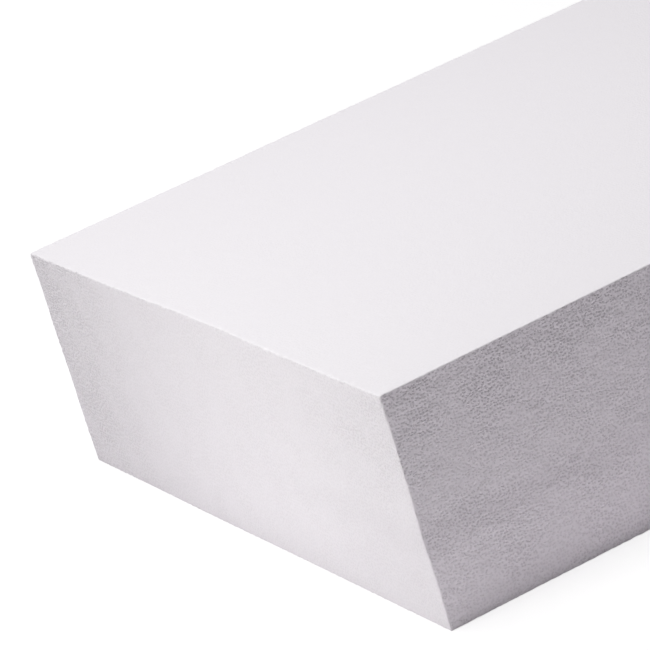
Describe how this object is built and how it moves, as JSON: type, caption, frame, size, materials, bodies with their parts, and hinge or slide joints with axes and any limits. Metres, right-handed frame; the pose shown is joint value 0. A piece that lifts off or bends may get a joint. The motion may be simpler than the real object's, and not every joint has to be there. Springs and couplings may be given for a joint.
{
  "type": "facade insulation board",
  "caption": "Rectangular block of white expanded polystyrene with square butt edges, bonded to an outside wall in courses under a render coat.",
  "frame": {"origin": "middle of the wall face, which is the large face that the board lies on", "axes": "+X along the 1000 mm length, +Y across the 500 mm width, +Z through the thickness from the wall face to the render face"},
  "size_m": [1, 0.5, 0.16],
  "materials": {
    "white_bead_foam": "white expanded polystyrene, hot-wire cut, with fused beads of about 2.5 mm showing as a fine pebbled network"
  },
  "bodies": {
    "root": {"insulation_board": "white_bead_foam"}
  },
  "joints": []
}
